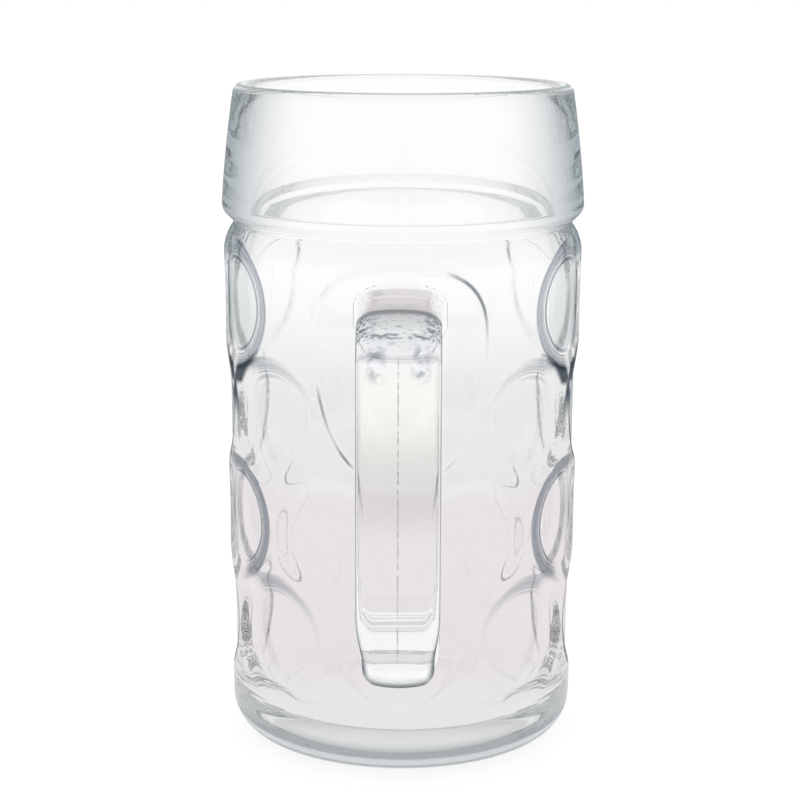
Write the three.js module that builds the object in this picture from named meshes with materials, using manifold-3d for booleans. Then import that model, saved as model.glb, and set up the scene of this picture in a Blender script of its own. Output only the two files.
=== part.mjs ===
// One-litre dimpled beer mug: a pressed glass body and a pressed glass handle stuck to it while hot.
// Units are millimetres, +Z is up, the origin is on the mug's axis at the foot, and the handle points to -Y.

import * as THREE from 'three';
import { mergeVertices } from 'three/addons/utils/BufferGeometryUtils.js';
import Module from 'manifold-3d';

// Body: outside
const mugHeight = 200;
const footRadius = 41; // flat face that the mug stands on
const heelRadius = 11.5; // round between the foot and the wall
const shoulderRadius = 54.1; // widest part of the dimpled wall, at its top
const shoulderHeight = 150.5; // where the wall starts to round in to the groove
const shoulderRound = 12;
const shoulderTurn = THREE.MathUtils.degToRad(38.7); // how far the shoulder rounds in before the groove
const grooveRadius = 50.7; // corner of the groove under the collar, before it is rounded
const grooveHeight = 159;
const grooveRound = 1.8;
const collarRadius = 54.7; // widest part of the collar, just above the groove
const collarHeight = 165.5; // height of that widest part
const collarRound = 2.6; // corner between the collar and its underside
const collarBulge = 0.4; // how far the collar's side bows out of a straight cone
const rimRadius = 50.6; // outside of the rim, where the lip starts

// Body: inside
const rimWall = 4.2; // thickness of the lip
const floorThickness = 11;
const floorWall = 8.3; // thickness of the plain wall at floor level
const boreCorner = 11; // round between the inside wall and the floor

// Dimples, pressed into the wall in staggered rows
const dimplesPerRow = 8;
const dimpleWidth = 39; // along the wall, from edge to edge
const dimpleHeight = 38.2;
const dimpleDepth = 1.3; // of its floor, which follows the wall's curve
const dimpleSlope = 7.7; // width of the slope from its edge down to its floor
const topRowHeight = 136.5;
const rowSpacing = 32.5;
const rowCount = 4;

// Raised pads that the handle is stuck to
const padRise = 0.9;
const upperPadTop = 152;
const upperPadWaist = 132; // height of its widest part
const upperPadBottom = 89.5;
const upperPadHalfWidth = 24.4;
const upperPadCrown = 16; // fullness of its rounded top
const upperPadToe = 20; // fullness of its rounded bottom
const upperPadCrownPull = 0.75; // how far its sides run straight up from the waist, as a share
const upperPadToePull = 0.47; // how far they run straight down, as a share
const lowerPadRadius = 16.6;
const lowerPadHeight = 39;

// Handle
const handleWidth = 23;
const handleThickness = 15;
const handleCorner = 4.2; // rounding of its section
const handleCrown = 1.6; // how far the long sides of its section bow out
const handleReach = 96; // from the mug's axis to the outside of the grip
const handleTop = 146; // upper side of the upper arm
const handleBottom = 33.5; // lower side where the lower end meets the wall
const upperBend = 8.5; // bend radii, along the middle of the section
const lowerBend = 27.5;
const rootFlare = 0.05; // how much wider the ends are than the grip, as a share
const rootLength = 15; // distance from the wall over which they widen
const weldGap = 0.3; // clearance between the handle's ends and the pads

// Fineness of the facets
const roundSides = 64;
const arcSteps = 2;
const wallSteps = 6;
const dimpleSides = 16;
const handleSteps = 52;
const handleCornerSteps = 2;
const padSides = 8;
const toolLift = 2; // how far a dimple's tool stands out of the wall
const mergeDistance = 1e-4;
const quarterPull = 0.5523; // pull of the control points of a quarter circle, as a share of its radius

const glass = new THREE.MeshStandardMaterial({ color: 0xe9eeec, roughness: 0.04, metalness: 0 });

const wasm = await Module();
wasm.setup();

// Solids to cut and join, and back to geometry

function toSolid(geometry) {
  const bare = geometry.clone();
  bare.deleteAttribute('normal');
  bare.deleteAttribute('uv');
  const merged = mergeVertices(bare, mergeDistance);
  return new wasm.Manifold(new wasm.Mesh({
    numProp: 3,
    vertProperties: new Float32Array(merged.attributes.position.array),
    triVerts: new Uint32Array(merged.index.array),
  }));
}

function toGeometry(solid) {
  const mesh = solid.getMesh();
  const geometry = new THREE.BufferGeometry();
  geometry.setAttribute('position', new THREE.BufferAttribute(new Float32Array(mesh.vertProperties), 3));
  geometry.setIndex(new THREE.BufferAttribute(new Uint32Array(mesh.triVerts), 1));
  geometry.computeVertexNormals();
  return geometry;
}

// A profile of radius against height, turned about the mug's upright axis
function turned(points, sides) {
  const geometry = new THREE.LatheGeometry(points, sides);
  geometry.rotateX(Math.PI / 2);
  return geometry;
}

// The wall's outside radius, before dimples, pads, heel and groove
function wallRadius(height) {
  const baseRadius = footRadius + heelRadius;
  const rise = (height - heelRadius) / (shoulderHeight - heelRadius);
  return THREE.MathUtils.lerp(baseRadius, shoulderRadius, rise);
}

// The point a distance along the way from one point to another
function towards(from, to, distance) {
  return to.clone().sub(from).setLength(distance).add(from);
}

// Half section of the outside, from the middle of the foot up to the lip
function outsideProfile() {
  const lipRound = rimWall / 2;
  const rimHeight = mugHeight - lipRound;
  const groove = new THREE.Vector2(grooveRadius, grooveHeight);
  const collarCorner = new THREE.Vector2(collarRadius, collarHeight - collarRound);
  const grooveEnd = towards(groove, collarCorner, grooveRound);
  const cornerStart = towards(collarCorner, groove, collarRound / 2);
  const collarMiddle = (collarHeight + rimHeight) / 2;
  const collarSide = (collarRadius + rimRadius) / 2 + 2 * collarBulge;
  const outline = new THREE.Path();
  outline.moveTo(0, 0);
  outline.lineTo(footRadius, 0);
  outline.absarc(footRadius, heelRadius, heelRadius, -Math.PI / 2, 0);
  for (let step = 1; step <= wallSteps; step += 1) {
    const height = THREE.MathUtils.lerp(heelRadius, shoulderHeight, step / wallSteps);
    outline.lineTo(wallRadius(height), height);
  }
  outline.absarc(shoulderRadius - shoulderRound, shoulderHeight, shoulderRound, 0, shoulderTurn);
  outline.quadraticCurveTo(groove.x, groove.y, grooveEnd.x, grooveEnd.y);
  outline.lineTo(cornerStart.x, cornerStart.y);
  outline.quadraticCurveTo(collarCorner.x, collarCorner.y, collarRadius, collarHeight);
  outline.quadraticCurveTo(collarSide, collarMiddle, rimRadius, rimHeight);
  outline.absarc(rimRadius - lipRound, rimHeight, lipRound, 0, Math.PI / 2);
  return outline.getPoints(arcSteps);
}

// Half section of the inside, from the top of the lip down to the middle of the floor
function insideProfile() {
  const lipRound = rimWall / 2;
  const rimHeight = mugHeight - lipRound;
  const rimBore = rimRadius - rimWall;
  const floorBore = footRadius + heelRadius - floorWall;
  const cornerTop = floorThickness + boreCorner;
  const cornerBore = THREE.MathUtils.mapLinear(cornerTop, floorThickness, rimHeight, floorBore, rimBore);
  const outline = new THREE.Path();
  outline.absarc(rimRadius - lipRound, rimHeight, lipRound, Math.PI / 2, Math.PI);
  outline.lineTo(cornerBore, cornerTop);
  outline.absarc(cornerBore - boreCorner, cornerTop, boreCorner, 0, -Math.PI / 2, true);
  outline.lineTo(0, floorThickness);
  return outline.getPoints(arcSteps);
}

// One dimple's pressing tool: a shallow dish with a sloped edge, bent round the wall at a bearing and height
function dimpleTool(bearing, height) {
  const wall = wallRadius(height);
  const edge = dimpleWidth / 2;
  const floor = edge - dimpleSlope;
  const profile = [
    new THREE.Vector2(0, -dimpleDepth),
    new THREE.Vector2(floor / 2, -dimpleDepth),
    new THREE.Vector2(floor, -dimpleDepth),
    new THREE.Vector2(edge, 0),
    new THREE.Vector2(edge, toolLift),
    new THREE.Vector2(0, toolLift),
  ];
  const tool = new THREE.LatheGeometry(profile, dimpleSides);
  tool.scale(1, 1, dimpleHeight / dimpleWidth);
  const place = tool.attributes.position;
  for (let i = 0; i < place.count; i += 1) {
    const turn = bearing - place.getX(i) / wall;
    const z = height + place.getZ(i);
    const radius = wallRadius(z) + place.getY(i);
    place.setXYZ(i, radius * Math.sin(turn), -radius * Math.cos(turn), z);
  }
  return toSolid(tool);
}

// Every dimple's bearing from the handle and height. The handle and its upper pad take the places near them.
function dimplePlaces() {
  const pitch = (2 * Math.PI) / dimplesPerRow;
  const places = [];
  for (let row = 0; row < rowCount; row += 1) {
    const staggered = row % 2 === 0;
    const height = topRowHeight - row * rowSpacing;
    for (let step = 0; step < dimplesPerRow; step += 1) {
      const bearing = (step + (staggered ? 0.5 : 0)) * pitch;
      const onHandleSide = Math.cos(bearing) > 0;
      const sideways = Math.abs(wallRadius(height) * Math.sin(bearing));
      const onUpperPad = onHandleSide && height > upperPadBottom && sideways < upperPadHalfWidth;
      const onHandle = onHandleSide && sideways < handleWidth / 2;
      if (!onUpperPad && !onHandle) places.push({ bearing, height });
    }
  }
  return places;
}

// Outline of the upper pad, seen from the handle's side, in x and height
function upperPadOutline() {
  const outline = new THREE.Shape();
  const waist = upperPadHalfWidth;
  const shoulder = upperPadWaist + (upperPadTop - upperPadWaist) * upperPadCrownPull;
  const toeDrop = (upperPadWaist - upperPadBottom) * upperPadToePull;
  outline.moveTo(0, upperPadBottom);
  outline.bezierCurveTo(upperPadToe, upperPadBottom, waist, upperPadWaist - toeDrop, waist, upperPadWaist);
  outline.bezierCurveTo(waist, shoulder, upperPadCrown, upperPadTop, 0, upperPadTop);
  outline.bezierCurveTo(-upperPadCrown, upperPadTop, -waist, shoulder, -waist, upperPadWaist);
  outline.bezierCurveTo(-waist, upperPadWaist - toeDrop, -upperPadToe, upperPadBottom, 0, upperPadBottom);
  return outline;
}

function lowerPadOutline() {
  const outline = new THREE.Shape();
  outline.absarc(0, lowerPadHeight, lowerPadRadius, 0, 2 * Math.PI);
  return outline;
}

// The plain wall grown by a distance, as a solid without the bore
function grownWall(distance) {
  const lowest = heelRadius;
  const points = [
    new THREE.Vector2(0, lowest),
    new THREE.Vector2(wallRadius(lowest) + distance, lowest),
    new THREE.Vector2(wallRadius(shoulderHeight) + distance, shoulderHeight),
    new THREE.Vector2(wallRadius(shoulderHeight) + distance, mugHeight),
    new THREE.Vector2(0, mugHeight),
  ];
  return toSolid(turned(points, roundSides));
}

// A pad: its outline pushed from the middle of the wall out to the handle's side, down to the pad's rise
function pad(outline, bore) {
  const column = new THREE.ExtrudeGeometry(outline, {
    depth: handleReach,
    curveSegments: padSides,
    bevelEnabled: false,
  });
  column.rotateX(Math.PI / 2);
  return toSolid(column).intersect(grownWall(padRise)).subtract(bore);
}

function bodyGeometry() {
  const inside = insideProfile();
  const bore = toSolid(turned([...inside].reverse().concat(new THREE.Vector2(0, mugHeight)), roundSides));
  let solid = toSolid(turned(outsideProfile().concat(inside), roundSides));
  for (const { bearing, height } of dimplePlaces()) {
    solid = solid.subtract(dimpleTool(bearing, height));
  }
  solid = solid.add(pad(upperPadOutline(), bore)).add(pad(lowerPadOutline(), bore));
  return toGeometry(solid);
}

// Rounded section of the handle, centred on its path, with its long sides bowed out
function handleSection() {
  const side = handleThickness / 2 - handleCrown;
  const bow = handleThickness / 2 + handleCrown;
  const x = side - handleCorner;
  const y = handleWidth / 2 - handleCorner;
  const section = new THREE.Shape();
  section.absarc(x, y, handleCorner, 0, Math.PI / 2);
  section.absarc(-x, y, handleCorner, Math.PI / 2, Math.PI);
  section.quadraticCurveTo(-bow, 0, -side, -y);
  section.absarc(-x, -y, handleCorner, Math.PI, 1.5 * Math.PI);
  section.absarc(x, -y, handleCorner, 1.5 * Math.PI, 2 * Math.PI);
  section.quadraticCurveTo(bow, 0, side, y);
  return section;
}

// Heights of the middle of the handle's two ends
const upperRoot = handleTop - handleThickness / 2;
const lowerRoot = handleBottom + handleThickness / 2;

// Middle line of the handle: out from the wall, down the grip and back in a wide bend
function handlePath() {
  const grip = -(handleReach - handleThickness / 2);
  const start = -(wallRadius(upperRoot) - rimWall);
  const end = -(wallRadius(lowerRoot) - rimWall);
  const outBend = Math.min(upperBend, start - grip);
  const inBend = Math.min(lowerBend, end - grip);
  const path = new THREE.CurvePath();
  const at = (y, z) => new THREE.Vector3(0, y, z);
  const pull = 1 - quarterPull;
  path.add(new THREE.LineCurve3(at(start, upperRoot), at(grip + outBend, upperRoot)));
  path.add(new THREE.CubicBezierCurve3(
    at(grip + outBend, upperRoot),
    at(grip + outBend * pull, upperRoot),
    at(grip, upperRoot - outBend * pull),
    at(grip, upperRoot - outBend),
  ));
  path.add(new THREE.LineCurve3(at(grip, upperRoot - outBend), at(grip, lowerRoot + inBend)));
  path.add(new THREE.CubicBezierCurve3(
    at(grip, lowerRoot + inBend),
    at(grip, lowerRoot + inBend * pull),
    at(grip + inBend * pull, lowerRoot),
    at(grip + inBend, lowerRoot),
  ));
  path.add(new THREE.LineCurve3(at(grip + inBend, lowerRoot), at(end, lowerRoot)));
  return path;
}

// Widens the handle towards the wall at both ends
function flareRoots(geometry) {
  const place = geometry.attributes.position;
  for (let i = 0; i < place.count; i += 1) {
    const z = place.getZ(i);
    const root = z > (upperRoot + lowerRoot) / 2 ? upperRoot : lowerRoot;
    const clear = -place.getY(i) - wallRadius(root);
    const near = THREE.MathUtils.clamp(1 - clear / rootLength, 0, 1);
    const grow = 1 + rootFlare * near * near;
    place.setX(i, place.getX(i) * grow);
    place.setZ(i, root + (z - root) * grow);
  }
}

function handleGeometry() {
  const geometry = new THREE.ExtrudeGeometry(handleSection(), {
    extrudePath: handlePath(),
    steps: handleSteps,
    curveSegments: handleCornerSteps,
    bevelEnabled: false,
  });
  flareRoots(geometry);
  return toGeometry(toSolid(geometry).subtract(grownWall(padRise + weldGap)));
}

function piece(name, geometry) {
  const mesh = new THREE.Mesh(geometry, glass.clone());
  mesh.name = name;
  return mesh;
}

const mug = new THREE.Group();
mug.add(piece('mug_body', bodyGeometry()));
mug.add(piece('handle', handleGeometry()));

export default mug;
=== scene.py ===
import math
import bmesh
import bpy
import numpy as np
from mathutils import Matrix, Vector


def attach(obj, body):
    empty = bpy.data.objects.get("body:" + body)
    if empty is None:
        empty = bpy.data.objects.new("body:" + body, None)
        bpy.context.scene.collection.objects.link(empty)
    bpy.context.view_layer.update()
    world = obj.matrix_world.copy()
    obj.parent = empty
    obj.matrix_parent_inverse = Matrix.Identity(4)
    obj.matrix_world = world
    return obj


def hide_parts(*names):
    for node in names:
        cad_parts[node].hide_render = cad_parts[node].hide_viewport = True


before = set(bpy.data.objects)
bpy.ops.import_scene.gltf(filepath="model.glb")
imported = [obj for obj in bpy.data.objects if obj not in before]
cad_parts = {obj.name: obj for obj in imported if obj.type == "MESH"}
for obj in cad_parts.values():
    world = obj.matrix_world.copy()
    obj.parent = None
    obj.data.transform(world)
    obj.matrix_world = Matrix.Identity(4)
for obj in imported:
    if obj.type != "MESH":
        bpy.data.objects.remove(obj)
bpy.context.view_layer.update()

mm = 0.001
sameSpot = 0.001 * mm     # vertices this close are one
slack = 0.1 * mm          # for picking drawn points by their place


# Small helpers

def clearSelection():
    if bpy.context.object is not None and bpy.context.object.mode != "OBJECT":
        bpy.ops.object.mode_set(mode="OBJECT")
    bpy.ops.object.select_all(action="DESELECT")


def pickVerts(piece, test):
    # selects the vertices that pass the test, in edit mode
    mesh = bmesh.from_edit_mesh(piece.data)
    for vert in mesh.verts:
        vert.select = test(vert.co)
    mesh.select_flush(True)
    mesh.select_flush(False)
    bmesh.update_edit_mesh(piece.data)


def pickAt(piece, *places):
    near = 0.02 * mm
    pickVerts(piece, lambda co: any((co - Vector(place)).length < near for place in places))


def startPoint(name, place):
    # one vertex to draw from, left in edit mode and selected
    clearSelection()
    bpy.ops.mesh.primitive_plane_add(size=mm, location=(0, 0, 0))
    piece = bpy.context.object
    piece.name = name
    piece.data.name = name
    bpy.ops.object.mode_set(mode="EDIT")
    bpy.ops.mesh.select_all(action="SELECT")
    bpy.ops.mesh.merge(type="CENTER")
    bpy.ops.transform.translate(value=place)
    return piece


def extrudeBy(step):
    bpy.ops.mesh.extrude_region_move(TRANSFORM_OT_translate={"value": step})


def closeMesh():
    # merges what meets and turns all faces outwards
    bpy.ops.mesh.select_all(action="SELECT")
    bpy.ops.mesh.remove_doubles(threshold=sameSpot)
    bpy.ops.mesh.normals_make_consistent(inside=False)


def readVerts(piece):
    flat = np.empty(len(piece.data.vertices) * 3, np.float32)
    piece.data.vertices.foreach_get("co", flat)
    return flat.reshape(-1, 3).astype(float)


def writeVerts(piece, places):
    piece.data.vertices.foreach_set("co", places.astype(np.float32).ravel())
    piece.data.update()


def keepAttribute(piece, name, values):
    attribute = piece.data.attributes.new(name, "FLOAT", "POINT")
    attribute.data.foreach_set("value", values.astype(np.float32))


def smoothStep(low, high, value):
    share = np.clip((value - low) / (high - low), 0, 1)
    return share * share * (3 - 2 * share)


def linear(hexColour):
    # sRGB hex to the linear values that shaders take
    channels = [int(hexColour[i:i + 2], 16) / 255 for i in (1, 3, 5)]
    curved = [c / 12.92 if c <= 0.04045 else ((c + 0.055) / 1.055) ** 2.4 for c in channels]
    return (*curved, 1)


def addNode(tree, kind, settings=None, links=None):
    # settings are node properties or input values, links are other nodes or their sockets
    node = tree.nodes.new(kind)
    for name, value in (settings or {}).items():
        if isinstance(name, int) or name in node.inputs:
            node.inputs[name].default_value = value
        else:
            setattr(node, name, value)
    for name, source in (links or {}).items():
        socket = source.outputs[0] if isinstance(source, bpy.types.Node) else source
        tree.links.new(socket, node.inputs[name])
    return node


# Glass body: a half section drawn corner by corner, rounded, and spun about the axis

bodyShape = {
    "height": 200 * mm,
    "footCorner": 52.5 * mm, "heelRound": 11.5 * mm,
    "shoulderRadius": 54.1 * mm, "shoulderHeight": 150.5 * mm, "shoulderRise": 4.21 * mm,
    "grooveRadius": 50.7 * mm, "grooveHeight": 159 * mm, "grooveRound": 1.3 * mm,
    "collarRadius": 54.7 * mm, "collarFoot": 162.9 * mm, "collarRound": 1.7 * mm,
    "collarSide": 53.45 * mm, "collarMiddle": 181.7 * mm, "collarSweep": 14 * mm,
    "rimRadius": 50.6 * mm, "rimWall": 4.2 * mm,
    "floorThickness": 11 * mm, "floorBore": 44.2 * mm, "boreRound": 11 * mm,
    "outsideFrom": 49.1 * mm,     # the wall's outside lies beyond this radius, and the bore within it
    "sides": 352, "wallRows": 132, "boreRows": 24,
    "heelSteps": 10, "shoulderSteps": 8, "smallSteps": 4, "lipSteps": 6, "collarSteps": 12,
}

dimpleShape = {
    "perRow": 8, "rows": 4, "topRow": 136.5 * mm, "rowStep": 32.5 * mm,
    "outer": 20.2 * mm,      # where its slope leaves the wall
    "inner": 13.2 * mm,      # where the slope reaches its floor
    "depth": 1.3 * mm,       # of its floor, which follows the wall's curve
    "tall": 0.98,            # a little wider than tall
    "reach": 1.3,            # times outer: within this the distance from it is kept
}

padShape = {
    "rise": 0.9 * mm, "softEdge": 2.8 * mm,
    "top": 152 * mm, "waist": 132 * mm, "bottom": 89.5 * mm, "halfWidth": 24.4 * mm,
    "crown": 16 * mm, "toe": 20 * mm, "crownPull": 0.75, "toePull": 0.47,
    "lowerRadius": 16.6 * mm, "lowerHeight": 39 * mm,
    "steps": 16,
}


def wallRadius(height):
    shape = bodyShape
    rise = height / (shape["shoulderHeight"] + shape["shoulderRise"])
    return shape["footCorner"] + (shape["shoulderRadius"] - shape["footCorner"]) * rise


def roundCorner(piece, place, offset, steps):
    pickAt(piece, place)
    bpy.ops.mesh.bevel(offset=offset, segments=steps, affect="VERTICES", clamp_overlap=False)


def drawBodySection():
    shape = bodyShape
    shoulderTop = shape["shoulderHeight"] + shape["shoulderRise"]
    lipRound = shape["rimWall"] / 2 * 0.995     # just short of half, so that the two rounds don't meet
    rimBore = shape["rimRadius"] - shape["rimWall"]
    # radius, height, round and its steps
    corners = [
        (0, 0, None, 0),
        (shape["footCorner"], 0, shape["heelRound"], shape["heelSteps"]),
        (shape["shoulderRadius"], shoulderTop, shape["shoulderRise"], shape["shoulderSteps"]),
        (shape["grooveRadius"], shape["grooveHeight"], shape["grooveRound"], shape["smallSteps"]),
        (shape["collarRadius"], shape["collarFoot"], shape["collarRound"], shape["smallSteps"]),
        (shape["collarSide"], shape["collarMiddle"], shape["collarSweep"], shape["collarSteps"]),
        (shape["rimRadius"], shape["height"], lipRound, shape["lipSteps"]),
        (rimBore, shape["height"], lipRound, shape["lipSteps"]),
        (shape["floorBore"], shape["floorThickness"], shape["boreRound"], shape["heelSteps"]),
        (0, shape["floorThickness"], None, 0),
    ]
    places = [Vector((radius, 0, height)) for radius, height, _, _ in corners]
    piece = startPoint("mug_body_glass", places[0])
    for before, after in zip(places, places[1:]):
        extrudeBy(after - before)
    for place, (_, _, offset, steps) in zip(places, corners):
        if offset:
            roundCorner(piece, place, offset, steps)
    return piece


def isWall(co):
    shape = bodyShape
    onHeight = shape["heelRound"] - slack < co.z < shape["shoulderHeight"] + slack
    return onHeight and co.x > shape["footCorner"] - slack


def isBore(co):
    shape = bodyShape
    top = shape["height"] - shape["rimWall"] / 2
    low = shape["floorThickness"] + shape["boreRound"]
    rimBore = shape["rimRadius"] - shape["rimWall"]
    onHeight = low - slack < co.z < top + slack
    return onHeight and shape["floorBore"] - slack < co.x < rimBore + slack


def dimplePlaces():
    # bearing from the handle, and height; the handle and its upper pad take the places near them
    dimple = dimpleShape
    pitch = 2 * math.pi / dimple["perRow"]
    places = []
    for row in range(dimple["rows"]):
        height = dimple["topRow"] - row * dimple["rowStep"]
        for step in range(dimple["perRow"]):
            bearing = (step + (0.5 if row % 2 == 0 else 0)) * pitch
            onHandleSide = math.cos(bearing) > 0
            sideways = abs(wallRadius(height) * math.sin(bearing))
            onPad = onHandleSide and height > padShape["bottom"] and sideways < padShape["halfWidth"]
            onHandle = onHandleSide and sideways < handleShape["width"] / 2
            if not onPad and not onHandle:
                places.append((bearing, height))
    return places


def pressDimple(places, nearest, second, bearing, height):
    # pushes the wall in by a round dimple with a soft slope and a floor that follows the wall,
    # and keeps the distances from the two nearest dimples
    dimple = dimpleShape
    out = np.array([math.sin(bearing), -math.cos(bearing), 0.0])
    side = np.array([math.cos(bearing), math.sin(bearing), 0.0])
    radius = np.hypot(places[:, 0], places[:, 1])
    turn = np.arctan2(places @ side, places @ out)
    across = wallRadius(height) * turn
    upright = (places[:, 2] - height) / dimple["tall"]
    distance = np.hypot(across, upright)
    onWall = (distance < dimple["reach"] * dimple["outer"]) & (radius > bodyShape["outsideFrom"])
    second[onWall] = np.minimum(second, np.maximum(nearest, distance))[onWall]
    nearest[onWall] = np.minimum(nearest, distance)[onWall]
    push = dimple["depth"] * (1 - smoothStep(dimple["inner"], dimple["outer"], distance))
    shrink = 1 - np.where(onWall, push, 0) / np.maximum(radius, mm)
    places[:, 0] *= shrink
    places[:, 1] *= shrink


def bezier(start, startPull, endPull, end, steps):
    share = np.linspace(0, 1, steps, endpoint=False)[:, None]
    rest = 1 - share
    weights = [rest ** 3, 3 * share * rest ** 2, 3 * share ** 2 * rest, share ** 3]
    points = [np.array(point) for point in (start, startPull, endPull, end)]
    return sum(weight * point for weight, point in zip(weights, points))


def upperPadOutline():
    pad = padShape
    wide, waist, top, bottom = pad["halfWidth"], pad["waist"], pad["top"], pad["bottom"]
    crownRise = (top - waist) * pad["crownPull"]
    toeDrop = (waist - bottom) * pad["toePull"]
    right = np.vstack([
        bezier((0, bottom), (pad["toe"], bottom), (wide, waist - toeDrop), (wide, waist), pad["steps"]),
        bezier((wide, waist), (wide, waist + crownRise), (pad["crown"], top), (0, top), pad["steps"]),
    ])
    left = np.vstack([[0, top], right[:0:-1] * (-1, 1)])
    return np.vstack([right, left])


def insideBy(outline, points):
    # distance from the outline, positive inside it
    ends = np.roll(outline, -1, axis=0)
    nearest = np.full(len(points), np.inf)
    crossings = np.zeros(len(points), int)
    for (ax, az), (bx, bz) in zip(outline, ends):
        edge = np.array([bx - ax, bz - az])
        offset = points - (ax, az)
        share = np.clip(offset @ edge / (edge @ edge), 0, 1)
        nearest = np.minimum(nearest, np.linalg.norm(offset - np.outer(share, edge), axis=1))
        if abs(bz - az) > 1e-12:     # a level edge is never crossed
            spans = (points[:, 1] < az) != (points[:, 1] < bz)
            reachX = ax + (points[:, 1] - az) * (bx - ax) / (bz - az)
            crossings += spans & (points[:, 0] < reachX)
    return np.where(crossings % 2 == 1, nearest, -nearest)


def raisePads(places, inside):
    pad = padShape
    radius = np.hypot(places[:, 0], places[:, 1])
    onWall = (radius > bodyShape["outsideFrom"]) & (places[:, 2] > bodyShape["heelRound"])
    front = onWall & (places[:, 1] < 0)
    points = places[front][:, [0, 2]]
    upper = insideBy(upperPadOutline(), points)
    lower = pad["lowerRadius"] - np.hypot(points[:, 0], points[:, 1] - pad["lowerHeight"])
    inside[front] = np.maximum(upper, lower)
    half = pad["softEdge"] / 2
    grow = 1 + pad["rise"] * smoothStep(-half, half, inside[front]) / radius[front]
    places[front, 0] *= grow
    places[front, 1] *= grow


def bowed(x, halfWidth):
    # how much of its height the handle's section keeps at x, because its long sides bow out
    share = np.clip(x / halfWidth, -1.2, 1.2)
    return 1 - handleShape["crown"] / (handleShape["thickness"] / 2) * share ** 2


def weldOutlines():
    # middle height, half width, half height, corner and narrowing of the handle's two ends on the pads
    shape = handleShape
    grow = 1 + shape["flare"]
    wide = shape["width"] / 2 * grow + shape["weldRound"]
    tall = shape["thickness"] / 2 * grow + shape["weldRound"]
    corner = shape["corner"] * grow + shape["weldRound"]
    upper = shape["top"] - shape["thickness"] / 2
    lower = shape["bottom"] + shape["thickness"] / 2
    narrow = shape["lowerWidth"] / shape["width"]
    return [(upper, wide, tall, corner, 1.0), (lower, wide, tall, corner, narrow)]


def fromOutline(points, outline):
    # how far points lie outside a rounded outline, and which way is straight out of it
    _, wide, tall, corner, _ = outline
    reach = np.array([wide - corner, tall - corner])
    away = points - np.clip(points, -reach, reach)
    distance = np.linalg.norm(away, axis=1)
    return distance - corner, away / np.maximum(distance, sameSpot)[:, None]


def unbowed(places, outline, halfWidth):
    # x and height above the root's middle, as if the section were not narrowed and its sides were straight
    height, _, _, _, narrow = outline
    x = places[:, 0] / narrow
    return np.stack([x, (places[:, 2] - height) / bowed(x, halfWidth)], axis=1)


def nearWeld(co):
    # places on the wall within two cells of a weld's outline
    twoCells = 2.2 * mm
    if co.y > 0 or co.xy.length < bodyShape["outsideFrom"]:
        return False
    place = np.array([co])
    for outline in weldOutlines():
        gap, _ = fromOutline(unbowed(place, outline, outline[1]), outline)
        if abs(gap[0]) < twoCells:
            return True
    return False


def snapWelds(places):
    # moves the wall's nearest vertices onto the weld outlines, so that faces end there
    halfCell = 0.5 * 2 * math.pi * bodyShape["shoulderRadius"] / bodyShape["sides"]
    radius = np.hypot(places[:, 0], places[:, 1])
    onHeight = (places[:, 2] > bodyShape["heelRound"]) & (places[:, 2] < bodyShape["shoulderHeight"])
    onWall = onHeight & (places[:, 1] < 0) & (radius > wallRadius(places[:, 2]) - mm)
    places[onWall, :2] *= (wallRadius(places[onWall, 2]) / radius[onWall])[:, None]
    snapped = np.zeros(len(places), bool)
    for outline in weldOutlines():
        height, wide, _, _, narrow = outline
        points = unbowed(places, outline, wide)
        gap, out = fromOutline(points, outline)
        near = onWall & (np.abs(gap) < 0.55 * halfCell)
        points[near] -= gap[near, None] * out[near]
        places[near, 0] = points[near, 0] * narrow
        places[near, 2] = height + points[near, 1] * bowed(points[near, 0], wide)
        places[near, 1] = -np.sqrt(wallRadius(places[near, 2]) ** 2 - places[near, 0] ** 2)
        snapped |= near
    return snapped


def makeBody():
    piece = drawBodySection()
    pickVerts(piece, isWall)
    bpy.ops.mesh.subdivide(number_cuts=bodyShape["wallRows"])
    pickVerts(piece, isBore)
    bpy.ops.mesh.subdivide(number_cuts=bodyShape["boreRows"])
    bpy.ops.mesh.select_all(action="SELECT")
    bpy.ops.mesh.spin(steps=bodyShape["sides"], angle=2 * math.pi, center=(0, 0, 0), axis=(0, 0, 1))
    closeMesh()
    # finer cells round the welds, whose faces then end on the handle's outline
    pickVerts(piece, nearWeld)
    bpy.ops.mesh.subdivide(number_cuts=1)
    bpy.ops.object.mode_set(mode="OBJECT")
    places = readVerts(piece)
    snapped = snapWelds(places)
    writeVerts(piece, places)
    piece.data.vertices.foreach_set("select", snapped)
    bpy.ops.object.mode_set(mode="EDIT")
    bpy.ops.mesh.remove_doubles(threshold=0.05 * mm)
    bpy.ops.mesh.vert_connect()
    bpy.ops.object.mode_set(mode="OBJECT")
    # dimples and pads are pressed by formula, because their slopes are softer than an operator's
    places = readVerts(piece)
    fromDimple = np.full(len(places), 2 * dimpleShape["outer"])
    fromSecond = fromDimple.copy()
    insidePad = np.full(len(places), -padShape["halfWidth"])
    for bearing, height in dimplePlaces():
        pressDimple(places, fromDimple, fromSecond, bearing, height)
    raisePads(places, insidePad)
    writeVerts(piece, places)
    keepAttribute(piece, "fromDimple", fromDimple)
    keepAttribute(piece, "fromSecond", fromSecond)
    keepAttribute(piece, "insidePad", insidePad)
    bpy.ops.object.shade_smooth()
    print("body made,", len(piece.data.polygons), "faces")
    return piece


# Handle: a rounded section drawn out from the wall, round two bends and back

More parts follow.
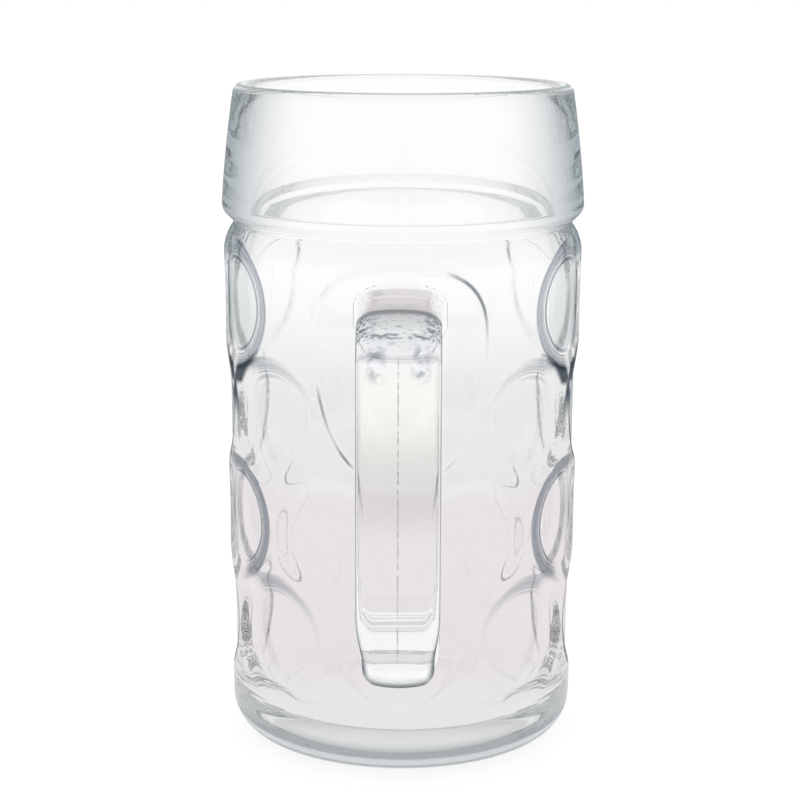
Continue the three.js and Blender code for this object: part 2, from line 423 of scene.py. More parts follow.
handleShape = {
    "width": 23 * mm, "thickness": 15 * mm, "corner": 4.2 * mm, "crown": 1.6 * mm,
    "lowerWidth": 20.2 * mm, "narrowing": (14, 45),     # degrees round the lower bend
    "reach": 96 * mm, "top": 146 * mm, "bottom": 33.5 * mm,
    "upperBend": 8.5 * mm, "lowerBend": 27.5 * mm,
    "flare": 0.05, "flareLength": 15 * mm, "seatLength": 24 * mm, "weldRound": 1 * mm,
    "seamWidth": 0.7 * mm, "seamRise": 0.08 * mm,
    "seamStart": (60, 90),      # degrees round the upper bend
    "innerRound": 1 * mm,       # added to the corner under the upper arm
    "outsideBlend": 3 * mm,     # over which the inside's look turns into the outside's
    "sink": 0.06 * mm,          # how far its ends reach under the pads' surface
    "cornerSteps": 14, "sideSteps": 14, "upperSteps": 36, "lowerSteps": 60,
    "gripRows": 48, "upperRows": 48, "lowerRows": 16, "weldRows": 6,
}


def drawHandleSection(wallFace, root):
    # a rounded oblong with bowed long sides and the mould seam in the middle of the upper one
    shape = handleShape
    middle = (0, -wallFace, root)
    clearSelection()
    bpy.ops.mesh.primitive_plane_add(size=1, location=middle, rotation=(math.pi / 2, 0, 0))
    piece = bpy.context.object
    piece.name = "handle_glass"
    piece.data.name = "handle_glass"
    bpy.ops.object.transform_apply(location=True, rotation=True, scale=True)
    bpy.ops.object.mode_set(mode="EDIT")
    bpy.ops.mesh.select_all(action="SELECT")
    bpy.ops.transform.resize(value=(shape["width"], 1, shape["thickness"]), center_override=middle)
    bpy.ops.mesh.bevel(
        offset=shape["corner"], segments=shape["cornerSteps"], affect="VERTICES", clamp_overlap=False)
    halfFlat = shape["width"] / 2 - shape["corner"]
    for height in (root + shape["thickness"] / 2, root - shape["thickness"] / 2):
        pickAt(piece, (halfFlat, -wallFace, height), (-halfFlat, -wallFace, height))
        bpy.ops.mesh.subdivide(number_cuts=shape["sideSteps"] - 1)
    roundCorner(piece, (0, -wallFace, shape["top"]), shape["seamWidth"] / 2, 2)
    mesh = bmesh.from_edit_mesh(piece.data)
    for vert in mesh.verts:
        vert.co.z = root + (vert.co.z - root) * bowed(vert.co.x, shape["width"] / 2)
    bmesh.update_edit_mesh(piece.data)
    pickAt(piece, (0, -wallFace, shape["top"]))
    bpy.ops.transform.translate(value=(0, 0, shape["seamRise"]))
    return piece


def drawHandleOut(wallFace, grip, upperRoot, lowerRoot):
    # the section goes out, round the upper bend, down the grip, round the lower bend and back
    shape = handleShape
    piece = drawHandleSection(wallFace - shape["sink"], upperRoot)
    bpy.ops.mesh.select_all(action="SELECT")
    extrudeBy((0, -shape["sink"], 0))
    # rows that get shorter towards the wall, for the round of the weld
    angles = np.linspace(math.pi / 2, 0, shape["weldRows"] + 1)
    weldSteps = -np.diff(shape["weldRound"] * np.sin(angles))
    for step in weldSteps:
        extrudeBy((0, -step, 0))
    arm = wallFace + grip + shape["upperBend"] + shape["weldRound"]
    for _ in range(shape["upperRows"]):
        extrudeBy((0, arm / shape["upperRows"], 0))
    bpy.ops.mesh.spin(
        steps=shape["upperSteps"], angle=math.pi / 2, axis=(-1, 0, 0),
        center=(0, grip + shape["upperBend"], upperRoot - shape["upperBend"]))
    drop = (lowerRoot + shape["lowerBend"]) - (upperRoot - shape["upperBend"])
    for _ in range(shape["gripRows"]):
        extrudeBy((0, 0, drop / shape["gripRows"]))
    bpy.ops.mesh.spin(
        steps=shape["lowerSteps"], angle=math.pi / 2, axis=(-1, 0, 0),
        center=(0, grip + shape["lowerBend"], lowerRoot + shape["lowerBend"]))
    back = -wallRadius(lowerRoot) - (grip + shape["lowerBend"]) - shape["weldRound"]
    for _ in range(shape["lowerRows"]):
        extrudeBy((0, back / shape["lowerRows"], 0))
    for step in weldSteps[::-1]:
        extrudeBy((0, step, 0))
    extrudeBy((0, shape["sink"], 0))
    closeMesh()
    bpy.ops.object.mode_set(mode="OBJECT")
    return piece


def makeHandle():
    shape = handleShape
    upperRoot = shape["top"] - shape["thickness"] / 2
    lowerRoot = shape["bottom"] + shape["thickness"] / 2
    grip = -(shape["reach"] - shape["seamRise"] - shape["thickness"] / 2)
    piece = drawHandleOut(wallRadius(upperRoot), grip, upperRoot, lowerRoot)
    places = readVerts(piece)
    # how far round the upper bend a place lies, in degrees, and how far out from the bend's middle
    forward = grip + shape["upperBend"] - places[:, 1]
    above = places[:, 2] - upperRoot + shape["upperBend"]
    turn = np.degrees(np.arctan2(np.maximum(forward, 0), above))
    bent = np.where(forward < 0, above, np.hypot(forward, above))
    out = np.where(above < 0, forward, bent)
    outsideEnd = shape["upperBend"] + shape["outsideBlend"]
    keepAttribute(piece, "turn", turn)
    keepAttribute(piece, "outside", smoothStep(shape["upperBend"], outsideEnd, out))
    # the seam stands out on the grip only
    onSeam = (out > shape["upperBend"]) & (np.abs(places[:, 0]) < 0.01 * mm)
    onGrip = smoothStep(*shape["seamStart"], turn)
    keepAttribute(piece, "seam", onSeam * onGrip)
    sunk = shape["seamRise"] * onSeam * (1 - onGrip)
    places[:, 1] += sunk * np.sin(np.radians(turn))
    places[:, 2] -= sunk * np.cos(np.radians(turn))
    roundInside(places, forward, above, out)
    # the lower bend narrows towards the wall
    ahead = grip + shape["lowerBend"] - places[:, 1]
    below = lowerRoot + shape["lowerBend"] - places[:, 2]
    lowerTurn = np.where(below > 0, np.degrees(np.arctan2(below, ahead)), 0)
    narrowBy = 1 - shape["lowerWidth"] / shape["width"]
    places[:, 0] *= 1 - narrowBy * smoothStep(*shape["narrowing"], lowerTurn)
    flareRoots(places, upperRoot, lowerRoot)
    writeVerts(piece, places)
    bpy.ops.object.shade_smooth()
    print("handle made,", len(piece.data.polygons), "faces")
    return piece


def roundInside(places, forward, above, out):
    # fills the bend's inside to a wider round about a middle further in, and leaves its outside as it is
    shape = handleShape
    depth = np.clip((shape["upperBend"] + shape["thickness"] / 2 - out) / shape["thickness"], 0, 1)
    pull = shape["innerRound"] * depth ** 2
    angle = np.arctan2(forward + pull, above + pull)
    inCorner = (out > 0) & (forward > -pull) & (above > -pull)
    places[:, 1] -= np.where(inCorner, (out + pull) * np.sin(angle) - pull - forward, 0)
    places[:, 2] += np.where(inCorner, (out + pull) * np.cos(angle) - pull - above, 0)


def flareRoots(places, upperRoot, lowerRoot):
    # widens both ends towards the wall, rounds them out to the weld and seats them on the curved pads
    shape = handleShape
    upper = places[:, 2] > (upperRoot + lowerRoot) / 2
    root = np.where(upper, upperRoot, lowerRoot)
    clear = -places[:, 1] - wallRadius(root)
    near = np.clip(1 - clear / shape["flareLength"], 0, 1)
    close = np.clip(1 - clear / shape["weldRound"], 0, 1)
    fillet = shape["weldRound"] * (1 - np.sqrt(1 - close * close))
    for side, outline in zip((upper, ~upper), weldOutlines()):
        height, _, _, _, narrow = outline
        here = side & (near > 0)
        grow = 1 + shape["flare"] * near[here] ** 2
        points = unbowed(places[here], outline, shape["width"] / 2)
        # the seam sinks into the section before the weld
        ridge = np.maximum(np.abs(points[:, 1]) - shape["thickness"] / 2, 0)
        points[:, 1] -= np.sign(points[:, 1]) * ridge * smoothStep(0.4, 0.8, near[here])
        points *= grow[:, None]
        _, out = fromOutline(points, outline)
        points += out * fillet[here, None]
        halfWidth = shape["width"] / 2 * grow + fillet[here]
        places[here, 0] = points[:, 0] * narrow
        places[here, 2] = height + points[:, 1] * bowed(points[:, 0], halfWidth)
    seat = wallRadius(places[:, 2]) + padShape["rise"]
    onPad = np.sqrt(np.maximum(seat * seat - places[:, 0] ** 2, 0))
    bend = np.clip(1 - clear / shape["seatLength"], 0, 1)
    places[:, 1] += (wallRadius(root) - onPad) * bend * bend


# Clear soda-lime glass, pressed in a mould: colourless and bright, with slow ripples left by the mould,
# and painted cool grey shade where it is seen along its surface or where a dimple's slope turns away

glassLook = {
    "ior": 1.52,
    "fade": (0.9, 0.8, 0.8),                     # light lost in each metre of glass, by channel
    "ripple": 14 * mm, "rippleHeight": 0.02 * mm,
    "smear": 30 * mm, "smearRoughness": 0.02,
}

bodyLook = {
    # painted shade: tones by which slopes, pad edges, outline, neck, collar, rim and base let less through
    "slope": "#98a1a8", "topSlope": "#aab1b9", "farSlope": "#9aa2a8", "line": "#90979c", "side": "#bfc5c8",
    "neck": "#adb5b9", "collar": "#adb6ba", "rim": "#d0d8d5", "base": "#e8ecee", "boss": "#5d656d",
    "hollow": "#e4eae8", "low": "#eeeeee", "warmShade": "#fffafc",
    "streak": 0.9 * mm,                          # width of the streaks along a slope
    "lineWidth": 0.8 * mm, "patch": 22 * mm,     # pad edges, and how far their grey comes and goes
    # heights over which a look comes in, and over which it ends
    "lowerRowsEnd": (118 * mm, 110 * mm), "topRowStart": (110 * mm, 118 * mm),
    "farSlopeStart": (100 * mm, 115 * mm), "hollowStart": (108 * mm, 118 * mm),
    "bossStart": (100 * mm, 110 * mm), "bossEnd": (126 * mm, 120 * mm),
    "lowEnd": (150 * mm, 112 * mm), "lowBehindHandleEnd": (106 * mm, 86 * mm),
    "warmShadeStart": (18 * mm, 34 * mm), "warmShadeEnd": (98 * mm, 78 * mm),
    "lineStart": (60 * mm, 80 * mm), "baseEnd": (12 * mm, 8.5 * mm),
    "sideStart": (30 * mm, 75 * mm), "sideEnd": (164 * mm, 156 * mm),
    "neckStart": (146 * mm, 152 * mm), "neckEnd": (163 * mm, 160 * mm),
    "collarStart": (160 * mm, 162 * mm), "collarEnd": (199.5 * mm, 198 * mm),
    "rimStart": (199.2 * mm, 199.7 * mm),
}

handleLook = {
    # tones of the handle's painted shade
    "seam": "#b9bec3", "edge": "#8f979c", "under": "#7c868a", "armTop": "#f1ecee",
    "bendBlueShade": "#fafdfd", "bendLilacShade": "#fafafc", "bendLine": "#b7bcbf", "bendEnds": "#929ba0",
    "speckShade": "#d3d9dc", "patchShade": "#bcc1c8", "grip": "#f1efef", "gripTop": "#fefefa",
    "wrinkle": 0.8 * mm, "wrinkleHeight": 0.035 * mm,     # where the handle was bent
    "cloud": 2.6 * mm,
    # heights over which a look comes in, and over which it ends
    "edgeEnd": (141 * mm, 135 * mm), "underEnd": (70 * mm, 55 * mm), "armTopStart": (120 * mm, 125 * mm),
    "gripTopStart": (100 * mm, 112 * mm), "gripStart": (82 * mm, 96 * mm), "gripEnd": (124 * mm, 106 * mm),
}


def shadeWhere(tree, colour, hexTone, amount, ranges):
    # multiplies the glass's colour by a tone where every value is past its range
    for value, low, high in ranges:
        share = addNode(tree, "ShaderNodeMapRange", {
            "interpolation_type": "SMOOTHSTEP", "From Min": low, "From Max": high}, {"Value": value})
        amount = addNode(tree, "ShaderNodeMath", {"operation": "MULTIPLY"}, {0: amount, 1: share})
    toned = addNode(tree, "ShaderNodeMix", {
        "data_type": "RGBA", "blend_type": "MULTIPLY", 7: linear(hexTone)}, {0: amount, 6: colour})
    return toned.outputs[2]


def startGlass(name):
    # what body and handle share: ripples, and light dimmed by the length of its way through the glass
    look = glassLook
    material = bpy.data.materials.new(name)
    material.use_nodes = True
    tree = material.node_tree
    tree.nodes.clear()
    place = addNode(tree, "ShaderNodeTexCoord").outputs["Object"]
    swell = addNode(tree, "ShaderNodeTexNoise", {
        "Scale": 1 / look["ripple"], "Detail": 2.0}, {"Vector": place})
    ripple = addNode(tree, "ShaderNodeBump", {
        "Strength": 1.0, "Distance": look["rippleHeight"]}, {"Height": swell})
    path = addNode(tree, "ShaderNodeLightPath")
    surface = addNode(tree, "ShaderNodeNewGeometry")
    fromInside = surface.outputs["Backfacing"]
    way = addNode(tree, "ShaderNodeMath", {"operation": "MULTIPLY"}, {
        0: path.outputs["Ray Length"], 1: fromInside})
    powers = [addNode(tree, "ShaderNodeMath", {"operation": "POWER", 0: math.exp(-fade)}, {1: way})
              for fade in look["fade"]]
    colour = addNode(tree, "ShaderNodeCombineColor", {}, dict(enumerate(powers)))
    front = addNode(tree, "ShaderNodeMath", {"operation": "SUBTRACT", 0: 1.0}, {1: fromInside})
    return material, place, surface.outputs["Normal"], ripple, colour, front


def finishGlass(tree, place, colour, normal):
    # polished glass with faint smears of handling
    look = glassLook
    smears = addNode(tree, "ShaderNodeTexNoise", {
        "Scale": 1 / look["smear"], "Detail": 2.0}, {"Vector": place})
    roughness = addNode(tree, "ShaderNodeMapRange", {
        "From Min": 0.5, "From Max": 0.75,
        "To Min": 0.0, "To Max": look["smearRoughness"]}, {"Value": smears})
    shader = addNode(tree, "ShaderNodeBsdfGlass", {"IOR": look["ior"]}, {
        "Color": colour, "Normal": normal, "Roughness": roughness})
    addNode(tree, "ShaderNodeOutputMaterial", {}, {"Surface": shader})


def bodyGlass():
    look = bodyLook
    inner, outer = dimpleShape["inner"], dimpleShape["outer"]
    material, place, normal, ripple, colour, front = startGlass("pressedSodaLimeGlass")
    tree = material.node_tree
    # only the outside takes these painted greys of shade, not the bore
    flat = addNode(tree, "ShaderNodeVectorMath", {"operation": "MULTIPLY", 1: (1, 1, 0)}, {0: place})
    radial = addNode(tree, "ShaderNodeVectorMath", {"operation": "NORMALIZE"}, {0: flat})
    outward = addNode(tree, "ShaderNodeVectorMath", {"operation": "DOT_PRODUCT"}, {0: normal, 1: radial})
    isOut = addNode(tree, "ShaderNodeMath", {"operation": "GREATER_THAN", 1: 0.0}, {
        0: outward.outputs["Value"]})
    outside = addNode(tree, "ShaderNodeMath", {"operation": "MULTIPLY"}, {0: front, 1: isOut})
    # how far the surface turns away from the eye, and how far beyond the round of the mug
    facing = addNode(tree, "ShaderNodeLayerWeight", {"Blend": 0.5}).outputs["Facing"]
    roundWeight = addNode(tree, "ShaderNodeLayerWeight", {"Blend": 0.5}, {"Normal": radial})
    roundFacing = roundWeight.outputs["Facing"]
    beyond = addNode(tree, "ShaderNodeMath", {"operation": "SUBTRACT"}, {0: facing, 1: roundFacing})
    # how far round from the middle of the view, the same from any height
    along = addNode(tree, "ShaderNodeVectorMath", {"operation": "CROSS_PRODUCT", 1: (0, 0, 1)}, {0: radial})
    alongWeight = addNode(tree, "ShaderNodeLayerWeight", {"Blend": 0.5}, {"Normal": along})
    alongShare = addNode(tree, "ShaderNodeMath", {"operation": "SUBTRACT", 0: 1.0}, {
        1: alongWeight.outputs["Facing"]})
    roundShare = addNode(tree, "ShaderNodeMath", {"operation": "SUBTRACT", 0: 1.0}, {1: roundFacing})
    bearing = addNode(tree, "ShaderNodeMath", {"operation": "ARCTAN2"}, {0: alongShare, 1: roundShare})
    levelShare = addNode(tree, "ShaderNodeMath", {"operation": "COSINE"}, {0: bearing})
    sideFacing = addNode(tree, "ShaderNodeMath", {"operation": "SUBTRACT", 0: 1.0}, {1: levelShare})
    # where on the mug
    axes = addNode(tree, "ShaderNodeSeparateXYZ", {}, {0: place})
    height = axes.outputs["Z"]
    sideways = addNode(tree, "ShaderNodeMath", {"operation": "ABSOLUTE"}, {0: axes.outputs["X"]})
    fromDimple = addNode(tree, "ShaderNodeAttribute", {"attribute_name": "fromDimple"}).outputs["Fac"]
    fromSecond = addNode(tree, "ShaderNodeAttribute", {"attribute_name": "fromSecond"}).outputs["Fac"]
    insidePad = addNode(tree, "ShaderNodeAttribute", {"attribute_name": "insidePad"}).outputs["Fac"]
    padEdge = addNode(tree, "ShaderNodeMath", {"operation": "ABSOLUTE"}, {0: insidePad})
    # small on the strip of wall behind the handle only
    fromHandle = addNode(tree, "ShaderNodeMath", {"operation": "MAXIMUM"}, {
        0: sideways, 1: axes.outputs["Y"]})
    streaks = addNode(tree, "ShaderNodeTexNoise", {
        "noise_dimensions": "1D", "Scale": 1 / look["streak"], "Detail": 2.0}, {"W": fromDimple})
    patches = addNode(tree, "ShaderNodeTexNoise", {
        "Scale": 1 / look["patch"], "Detail": 1.0}, {"Vector": place})
    # painted shade on the slopes of the dimples that turn away, wider and paler in the top row
    colour = shadeWhere(tree, colour, look["slope"], outside, [
        (fromDimple, inner, inner + mm), (fromDimple, outer, outer - 0.7 * mm),
        (beyond, -0.03, 0.05), (facing, 0.3, 0.55), (streaks, 0.15, 0.6), (height, *look["lowerRowsEnd"])])
    colour = shadeWhere(tree, colour, look["topSlope"], outside, [
        (fromDimple, inner - 0.5 * mm, inner + 0.5 * mm), (fromDimple, outer + 0.3 * mm, outer - 0.3 * mm),
        (beyond, -0.05, 0.01), (facing, 0.3, 0.5), (streaks, 0.3, 0.6), (height, *look["topRowStart"])])
    colour = shadeWhere(tree, colour, look["farSlope"], outside, [
        (fromDimple, inner - 0.5 * mm, inner + 0.8 * mm), (fromDimple, inner + 3.5 * mm, inner + 1.5 * mm),
        (beyond, -0.02, -0.1), (sideFacing, 0.75, 0.9), (height, *look["farSlopeStart"])])
    # painted dark shade on the bosses between three dimples under the top row, seen from the side
    colour = shadeWhere(tree, colour, look["boss"], outside, [
        (fromDimple, outer - 3 * mm, outer - 1.2 * mm), (fromSecond, 25 * mm, 23 * mm),
        (facing, 0.42, 0.54), (facing, 0.88, 0.76),
        (height, *look["bossStart"]), (height, *look["bossEnd"])])
    # painted shade: floors of the top row seen from the side, and the wall from there down, a little less
    # bright
    colour = shadeWhere(tree, colour, look["hollow"], outside, [
        (fromDimple, inner + 0.8 * mm, inner - 0.8 * mm), (facing, 0.42, 0.62),
        (height, *look["hollowStart"])])
    colour = shadeWhere(tree, colour, look["low"], outside, [
        (height, *look["lowEnd"]), (fromHandle, 8 * mm, 14 * mm)])
    colour = shadeWhere(tree, colour, look["low"], outside, [
        (height, *look["lowBehindHandleEnd"]), (fromHandle, 14 * mm, 8 * mm)])
    # a faint warm painted shade in the lower half
    colour = shadeWhere(tree, colour, look["warmShade"], outside, [
        (height, *look["warmShadeEnd"]), (height, *look["warmShadeStart"])])
    # painted shade: the pads' pressed edges are thin lines that come and go beside the handle
    colour = shadeWhere(tree, colour, look["line"], outside, [
        (padEdge, look["lineWidth"], 0.2 * mm), (patches, 0.45, 0.6), (sideways, 12 * mm, 16 * mm),
        (height, *look["lineStart"])])
    # painted shade: neck and collar grey towards their sides, and rim, thick base and wall at their outline
    colour = shadeWhere(tree, colour, look["neck"], outside, [
        (height, *look["neckStart"]), (height, *look["neckEnd"]), (sideFacing, 0.3, 0.85)])
    colour = shadeWhere(tree, colour, look["collar"], outside, [
        (height, *look["collarStart"]), (height, *look["collarEnd"]), (sideFacing, 0.12, 0.8)])
    colour = shadeWhere(tree, colour, look["rim"], outside, [
        (height, *look["rimStart"]), (facing, 0.3, 0.55)])
    colour = shadeWhere(tree, colour, look["base"], outside, [
        (height, *look["baseEnd"]), (facing, -0.8, 0.5)])
    colour = shadeWhere(tree, colour, look["side"], outside, [
        (height, *look["sideEnd"]), (height, *look["sideStart"]), (facing, 0.7, 0.98)])
    finishGlass(tree, place, colour, ripple)
    return material


def handleGlass():
    # the same glass, bent while hot: smooth on the grip and wrinkled on the upper bend, with painted shade
    # on the bend, the sides, the underside and the lower grip
    look = handleLook
    material, place, normal, ripple, colour, front = startGlass("drawnSodaLimeGlass")
    tree = material.node_tree
    facing = addNode(tree, "ShaderNodeLayerWeight", {"Blend": 0.5}).outputs["Facing"]
    axes = addNode(tree, "ShaderNodeSeparateXYZ", {}, {0: place})
    sideways = addNode(tree, "ShaderNodeMath", {"operation": "ABSOLUTE"}, {0: axes.outputs["X"]})
    ahead = axes.outputs["Y"]
    height = axes.outputs["Z"]
    lean = addNode(tree, "ShaderNodeSeparateXYZ", {}, {0: normal})
    sideLean = addNode(tree, "ShaderNodeMath", {"operation": "ABSOLUTE"}, {0: lean.outputs["X"]})
    upLean = lean.outputs["Z"]
    turn = addNode(tree, "ShaderNodeAttribute", {"attribute_name": "turn"}).outputs["Fac"]
    seam = addNode(tree, "ShaderNodeAttribute", {"attribute_name": "seam"}).outputs["Fac"]
    onOutside = addNode(tree, "ShaderNodeAttribute", {"attribute_name": "outside"}).outputs["Fac"]
    outside = addNode(tree, "ShaderNodeMath", {"operation": "MULTIPLY"}, {0: front, 1: onOutside})
    across = addNode(tree, "ShaderNodeMapping", {"Scale": (0.45, 1, 1)}, {"Vector": place})
    grain = addNode(tree, "ShaderNodeTexNoise", {
        "Scale": 1 / look["wrinkle"], "Detail": 4.0}, {"Vector": across})
    clouds = addNode(tree, "ShaderNodeTexNoise", {
        "Scale": 1 / look["cloud"], "Detail": 4.0}, {"Vector": place})
    # painted shade: the rounded sides and the underside grey where they are seen along the surface
    colour = shadeWhere(tree, colour, look["edge"], front, [
        (ahead, -66 * mm, -76 * mm), (height, *look["edgeEnd"]),
        (sideLean, 0.5, 0.9), (facing, 0.45, 0.85)])
    colour = shadeWhere(tree, colour, look["under"], front, [
        (height, *look["underEnd"]), (upLean, -0.5, -0.85), (facing, 0.6, 0.95)])
    # painted shade: the top of the upper arm, where it faces up, a faint pink grey
    colour = shadeWhere(tree, colour, look["armTop"], front, [
        (height, *look["armTopStart"]), (upLean, 0.8, 0.95)])
    # painted shade on the outside of the upper bend: pale blue and lilac greys, lines, darker ends, specks
    # and a patch; turns are in degrees
    colour = shadeWhere(tree, colour, look["bendBlueShade"], outside, [(turn, 16, 28), (turn, 60, 50)])
    colour = shadeWhere(tree, colour, look["bendLilacShade"], outside, [(turn, 50, 58), (turn, 105, 80)])
    colour = shadeWhere(tree, colour, look["bendLine"], outside, [(turn, 14, 18), (turn, 28, 21)])
    colour = shadeWhere(tree, colour, look["bendLine"], outside, [
        (turn, 49, 52), (turn, 58, 54), (grain, 0.42, 0.55)])
    colour = shadeWhere(tree, colour, look["bendEnds"], outside, [
        (turn, 18, 26), (turn, 54, 44), (sideways, 5 * mm, 10 * mm), (grain, 0.35, 0.6)])
    colour = shadeWhere(tree, colour, look["speckShade"], outside, [
        (turn, 18, 26), (turn, 84, 50), (grain, 0.5, 0.68)])
    colour = shadeWhere(tree, colour, look["patchShade"], outside, [
        (turn, 58, 70), (turn, 104, 88), (sideways, 2.5 * mm, 5.5 * mm), (sideways, 9.5 * mm, 6.5 * mm),
        (clouds, 0.4, 0.65)])
    # painted shade: the grip is bright at its top and a little greyer below
    colour = shadeWhere(tree, colour, look["gripTop"], outside, [
        (turn, 80, 95), (height, *look["gripTopStart"])])
    colour = shadeWhere(tree, colour, look["grip"], outside, [
        (turn, 90, 100), (height, *look["gripEnd"]), (height, *look["gripStart"])])
    # painted shade along the mould seam
    colour = shadeWhere(tree, colour, look["seam"], outside, [(seam, 0.0, 1.0), (clouds, 0.35, 0.6)])
    # wrinkles on the outside of the bend, which die out on the grip
    bent = addNode(tree, "ShaderNodeMapRange", {"From Min": 90.0, "From Max": 50.0}, {"Value": turn})
    onBend = addNode(tree, "ShaderNodeMath", {"operation": "GREATER_THAN", 1: 12.0}, {0: turn})
    onArc = addNode(tree, "ShaderNodeMath", {"operation": "MULTIPLY"}, {0: bent, 1: onBend})
    rough = addNode(tree, "ShaderNodeMath", {"operation": "MULTIPLY"}, {0: onArc, 1: onOutside})
    crumple = addNode(tree, "ShaderNodeMath", {"operation": "MULTIPLY"}, {0: rough, 1: grain})
    wrinkled = addNode(tree, "ShaderNodeBump", {"Strength": 1.0, "Distance": look["wrinkleHeight"]}, {
        "Height": crumple, "Normal": ripple})
    finishGlass(tree, place, colour, wrinkled)
    return material


def fusedSeam():
    # where the two hot pieces melted together there is no surface left to see
    material = bpy.data.materials.new("fusedGlassSeam")
    material.use_nodes = True
    shader = material.node_tree.nodes["Principled BSDF"]
    shader.inputs["Alpha"].default_value = 0.0
    return material


def isSunk(face):
    # the handle's end faces, and the strips between them and the pads' surface
    surface = wallRadius(face.center.z) + padShape["rise"]
    return len(face.vertices) > 4 or face.center.xy.length < surface - 0.2 * handleShape["sink"]


def openWeld(body, handle, seam):
    # the faces where handle and body run into each other take the fused seam
    body.data.materials.append(seam)
    handle.data.materials.append(seam)
    centres = np.array([face.center for face in body.data.polygons])
    radius = np.hypot(centres[:, 0], centres[:, 1])
    onWall = (centres[:, 1] < 0) & (radius > wallRadius(centres[:, 2]) - mm)
    slots = np.zeros(len(centres), np.int32)
    for outline in weldOutlines():
        gap, _ = fromOutline(unbowed(centres, outline, outline[1]), outline)
        slots[onWall & (gap < 0)] = 1
    body.data.polygons.foreach_set("material_index", slots)
    ends = [face for face in handle.data.polygons if isSunk(face)]
    for face in ends:
        face.material_index = 1
        face.use_smooth = False
    print("weld opened,", slots.sum(), "wall faces and", len(ends), "faces of the handle's ends")


# Floor, light and camera

stageLook = {
    "floorRadius": 4.0, "floorDrop": 0.1 * mm,
    # painted shade: seen in the glass, the floor is a little grey round the mug
    "near": 0.36, "far": 0.78,                # over this way from the mug the floor pales
    "nearTone": "#fafafa", "farTone": "#ffffff",
    "paper": "#e6e6e6",                       # what the floor throws back
    "glow": 0.86, "shade": "#7c7c7c",         # what the camera sees: near white, with the mug's shadow
    "ceiling": 0.7,
}


def makeFloor():
    # white paper: seen in the glass it is white with a little painted shade round the mug, and seen
    # directly it carries the mug's shadow
    stage = stageLook
    clearSelection()
    bpy.ops.mesh.primitive_circle_add(
        vertices=96, radius=stage["floorRadius"], fill_type="NGON", location=(0, 0, -stage["floorDrop"]))
    bpy.ops.object.transform_apply(location=True, rotation=False, scale=False)
    floor = bpy.context.object
    floor.name = "floor"
    material = bpy.data.materials.new("whitePaper")
    material.use_nodes = True
    tree = material.node_tree
    tree.nodes.clear()
    path = addNode(tree, "ShaderNodeLightPath")
    place = addNode(tree, "ShaderNodeTexCoord").outputs["Object"]
    length = addNode(tree, "ShaderNodeVectorMath", {"operation": "LENGTH"}, {0: place})
    away = addNode(tree, "ShaderNodeMapRange", {
        "interpolation_type": "SMOOTHSTEP", "From Min": stage["near"], "From Max": stage["far"]}, {
        "Value": length.outputs["Value"]})
    tone = addNode(tree, "ShaderNodeMix", {
        "data_type": "RGBA", 6: linear(stage["nearTone"]), 7: linear(stage["farTone"])}, {0: away})
    through = addNode(tree, "ShaderNodeEmission", {"Strength": 1.0}, {"Color": tone.outputs[2]})
    paper = addNode(tree, "ShaderNodeBsdfDiffuse", {"Color": linear(stage["paper"])})
    glow = addNode(tree, "ShaderNodeEmission", {"Color": linear("#ffffff"), "Strength": stage["glow"]})
    shade = addNode(tree, "ShaderNodeBsdfDiffuse", {"Color": linear(stage["shade"])})
    lit = addNode(tree, "ShaderNodeAddShader", {}, {0: glow, 1: shade})
    inGlass = addNode(tree, "ShaderNodeMath", {"operation": "MAXIMUM"}, {
        0: path.outputs["Is Glossy Ray"], 1: path.outputs["Is Transmission Ray"]})
    plain = addNode(tree, "ShaderNodeMixShader", {}, {0: path.outputs["Is Camera Ray"], 1: paper, 2: lit})
    mix = addNode(tree, "ShaderNodeMixShader", {}, {0: inGlass, 1: plain, 2: through})
    addNode(tree, "ShaderNodeOutputMaterial", {}, {"Surface": mix})
    floor.data.materials.append(material)
    print("floor laid")


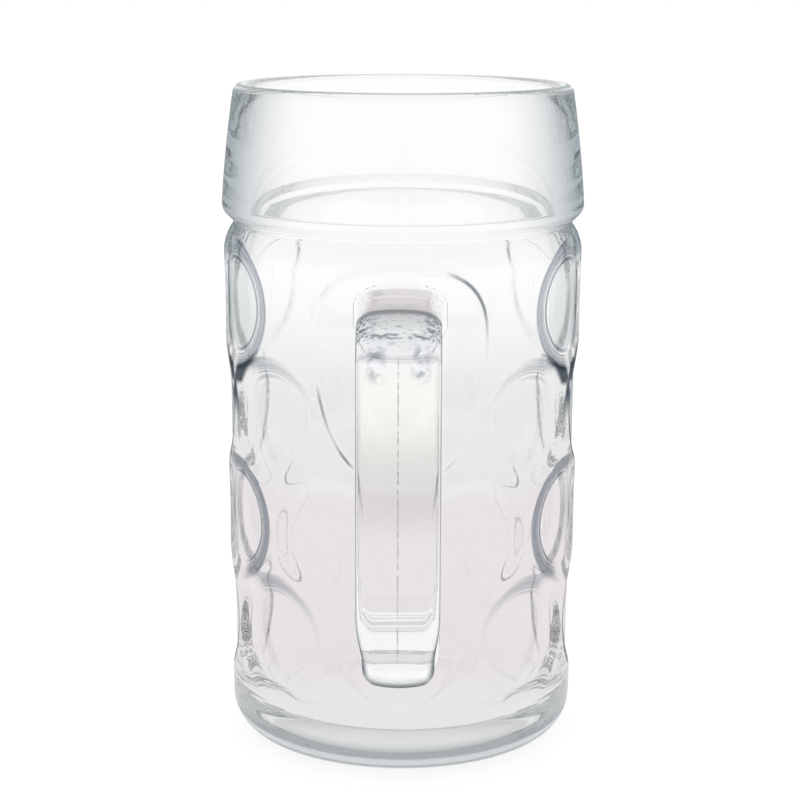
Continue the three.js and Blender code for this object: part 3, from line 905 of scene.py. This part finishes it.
def makeWorld():
    # white all round, with a dim ceiling that only the glass shows
    world = bpy.data.worlds.new("whiteStudio")
    bpy.context.scene.world = world
    world.use_nodes = True
    tree = world.node_tree
    tree.nodes.clear()
    path = addNode(tree, "ShaderNodeLightPath")
    place = addNode(tree, "ShaderNodeTexCoord").outputs["Generated"]
    split = addNode(tree, "ShaderNodeSeparateXYZ", {}, {0: place})
    ceiling = addNode(tree, "ShaderNodeMapRange", {
        "interpolation_type": "SMOOTHSTEP", "From Min": 0.2, "From Max": 0.7,
        "To Min": 1.0, "To Max": stageLook["ceiling"]}, {"Value": split.outputs["Z"]})
    inGlass = addNode(tree, "ShaderNodeMath", {"operation": "MAXIMUM"}, {
        0: path.outputs["Is Glossy Ray"], 1: path.outputs["Is Transmission Ray"]})
    level = addNode(tree, "ShaderNodeMix", {"data_type": "FLOAT", 2: 1.0}, {0: inGlass, 3: ceiling})
    light = addNode(tree, "ShaderNodeBackground", {"Color": linear("#ffffff")}, {"Strength": level})
    addNode(tree, "ShaderNodeOutputWorld", {}, {"Surface": light})
    print("white surroundings set")


cameraPlace = {
    "distance": 650.0 * mm, "height": 238.6 * mm, "azimuth": 0.63, "pitch": 11.768,
    "yaw": 0.06, "roll": 0.2, "focalPixels": 2156.4, "imagePixels": 800, "sensor": 36.0,
}


def makeCamera():
    view = cameraPlace
    clearSelection()
    turn = math.radians(view["azimuth"])
    place = (view["distance"] * math.sin(turn), -view["distance"] * math.cos(turn), view["height"])
    bpy.ops.object.camera_add(location=place)
    camera = bpy.context.object
    aim = Matrix.Rotation(turn + math.radians(view["yaw"]), 4, "Z")
    tilt = Matrix.Rotation(math.pi / 2 - math.radians(view["pitch"]), 4, "X")
    roll = Matrix.Rotation(math.radians(view["roll"]), 4, "Z")
    camera.rotation_euler = (aim @ tilt @ roll).to_euler()
    camera.data.sensor_width = view["sensor"]
    camera.data.lens = view["focalPixels"] / view["imagePixels"] * view["sensor"]
    camera.data.clip_start = 0.01
    bpy.context.scene.camera = camera
    print("camera set, lens", round(camera.data.lens, 2), "mm")


makeCamera()
body = makeBody()
handle = makeHandle()
body.data.materials.append(bodyGlass())
handle.data.materials.append(handleGlass())
openWeld(body, handle, fusedSeam())
for piece, node, slot in ((body, "mug_body", "body_glass"), (handle, "handle", "handle_glass")):
    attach(piece, "root")
    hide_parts(node)
makeFloor()
makeWorld()
bpy.context.scene.view_settings.view_transform = "Standard"
bounces = 32     # light crosses many glass walls here
bpy.context.scene.cycles.max_bounces = bounces
bpy.context.scene.cycles.glossy_bounces = bounces
bpy.context.scene.cycles.transmission_bounces = bounces
bpy.context.scene.cycles.transparent_max_bounces = bounces
